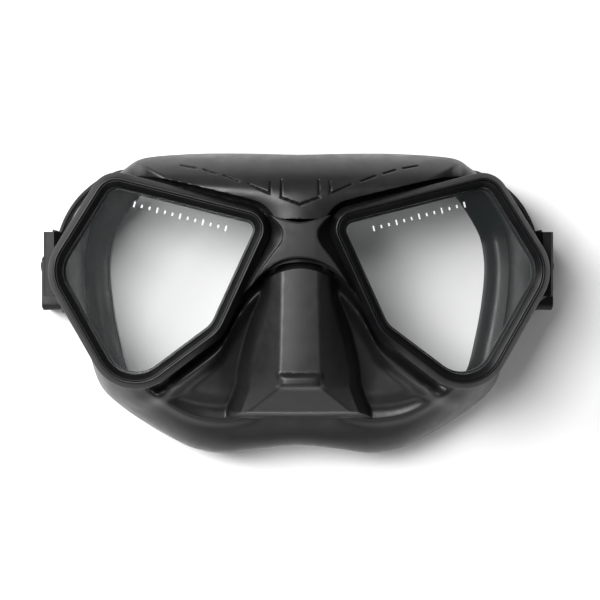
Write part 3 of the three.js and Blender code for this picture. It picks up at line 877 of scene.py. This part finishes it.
# ---- strap ---------------------------------------------------------------------------------
STRAP_STATIONS = 900
STRAP_EDGE_RADIUS = 0.45
ROLLER_GAP = 0.3             # between a roller and the band that turns round it
NOTCHES = 230                # that would fit in the whole length
NOTCHED_END = 0.16           # share of the length that has them, at each end
NOTCH_HALF_WIDTH = 0.3       # of their spacing
NOTCH_DEPTH = 0.18           # of half the thickness
PLAIN_EDGE = 1               # margin without notches


def strap_route():
    """The band's middle line seen from the front, from one free end to the other."""
    wrap = ROLLER[2] + ROLLER_GAP + STRAP_THICKNESS / 2
    x, y = ROLLER[:2]
    tail = catmull([(86.0, 26), (87.1, 22), (88.5, 17.6), (x + wrap, 14.2), (x + wrap, y)], 12)
    turn = np.linspace(0, -math.pi, 26)[1:-1]
    bend = np.column_stack([x + wrap * np.cos(turn), y + wrap * np.sin(turn)])
    run = catmull([(x - wrap, y), (x - wrap, 16), (84.7, 22.5), (82, 30), (77.8, 36.6), (72, 42),
                   (66, 45.4), (60, 46.9), (45, 47.7), (20, 48.3), (0, 48.6)], 14)
    right = np.vstack([tail, bend, run])
    return np.vstack([right, right[-2::-1] * (-1, 1)])


def strap():
    """A flat rubber band round the back of the head, notched across near the rollers."""
    share = np.linspace(0, 1, STRAP_STATIONS)
    route = along(strap_route(), share)
    tangent = unit_rows(np.gradient(route, axis=0))
    across = np.column_stack([tangent[:, 1], -tangent[:, 0]])
    half_w, half_t, radius = STRAP_WIDTH / 2, STRAP_THICKNESS / 2, STRAP_EDGE_RADIUS
    corners = [(-half_t, -half_w, radius), (half_t, -half_w, radius),
               (half_t, half_w, radius), (-half_t, half_w, radius)]
    outline = np.vstack(rounded(corners, 5))
    notched = np.abs(np.mod(share * NOTCHES, 1) - 0.5) < NOTCH_HALF_WIDTH
    depth = NOTCH_DEPTH * notched * (np.minimum(share, 1 - share) < NOTCHED_END)
    inside = np.abs(outline[:, 1]) < half_w - PLAIN_EDGE
    loops = []
    for i, point in enumerate(route):
        out = outline[:, 0] * (1 - depth[i] * inside)
        xy = point + across[i] * out[:, None]
        loops.append(np.column_stack([xy, outline[:, 1] + STRAP_BOTTOM + half_w]))
    size = len(route), len(outline)
    faces = grid_faces(*size, close_columns=True) + end_caps(*size)
    band = make_mesh("strap_band", np.vstack(loops), flipped(faces), STRAP, 40)
    belongs(band, "strap_set", "strap_rubber", "strap")


strap()

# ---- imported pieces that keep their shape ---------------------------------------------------
KEPT = {                     # material and bevel width
    "frame_lug": (FRAME_PLASTIC, 0.35),
    "buckle_body": (BUCKLE, 0.25),
    "release_lever": (BUCKLE, 0.25),
    "strap_keeper": (STRAP, 0.15),
    "swivel_pin": (STEEL, 0.12),
    "strap_roller": (STEEL, 0.08),
    "lever_pin": (STEEL, 0.1),
}
BEVELLED_ANGLE = 35
for stem, (material, width) in KEPT.items():
    for name, _ in SIDES:
        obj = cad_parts[f"{stem}_{name}"]
        obj.data.materials.clear()
        obj.data.materials.append(material)
        bevel = obj.modifiers.new("edge", "BEVEL")
        bevel.width = width * MM
        bevel.segments = 3
        bevel.limit_method = "ANGLE"
        bevel.angle_limit = math.radians(BEVELLED_ANGLE)

# ---- table, light and camera, in metres ----------------------------------------------------
TABLE_HALF_SIZE = 4.0
mesh = bpy.data.meshes.new("table_top")
corners = [(x * TABLE_HALF_SIZE, y * TABLE_HALF_SIZE, 0) for x, y in SQUARE]
mesh.from_pydata(corners, [], [(0, 1, 2, 3)])
mesh.materials.append(table_top())
table = bpy.data.objects.new("table_top", mesh)
bpy.context.scene.collection.objects.link(table)


def area_light(name, place, aim, size, power):
    data = bpy.data.lights.new(name, "AREA")
    data.shape = "RECTANGLE"
    data.size, data.size_y = size
    data.energy = power
    light = bpy.data.objects.new(name, data)
    light.location = place
    light.rotation_euler = (Vector(aim) - Vector(place)).to_track_quat("-Z", "Y").to_euler()
    bpy.context.scene.collection.objects.link(light)


area_light("key", (-0.80, 0.42, 0.62), (0, 0, 0.03), (0.45, 0.6), 11)
area_light("top", (-0.47, 0.28, 1.23), (0, 0, 0), (0.6, 0.6), 20)
area_light("front", (-0.1, -0.9, 0.6), (0, 0, 0.03), (0.8, 0.4), 2)

world = bpy.data.worlds.new("studio")
world.use_nodes = True
background = world.node_tree.nodes["Background"]
background.inputs["Color"].default_value = (1, 1, 1, 1)
background.inputs["Strength"].default_value = 0.17
bpy.context.scene.world = world
bpy.context.scene.view_settings.view_transform = "Standard"

VIEW_WIDTH = 202.0           # what the picture spans at the height of the rims
DISTANCE = 700.0
SENSOR = 36
AIM = (0, 1.2, CREST_Z - 4)
EYE_OFFSET = -14             # the camera stands a little to the left, turned to the middle


def look_down():
    """The camera over the mask, with +Y up in the picture."""
    camera = bpy.data.cameras.new("camera")
    camera.sensor_width = SENSOR
    camera.lens = SENSOR / VIEW_WIDTH * DISTANCE
    target = Vector(AIM) * MM
    eye = Vector((AIM[0] + EYE_OFFSET, AIM[1], AIM[2] + DISTANCE)) * MM
    forward = (target - eye).normalized()
    across = forward.cross(Vector((0, 1, 0))).normalized()
    axes = Matrix((across, across.cross(forward), -forward)).transposed()
    stand = bpy.data.objects.new("camera", camera)
    stand.location = eye
    stand.rotation_euler = axes.to_euler()
    bpy.context.scene.collection.objects.link(stand)
    bpy.context.scene.camera = stand


look_down()
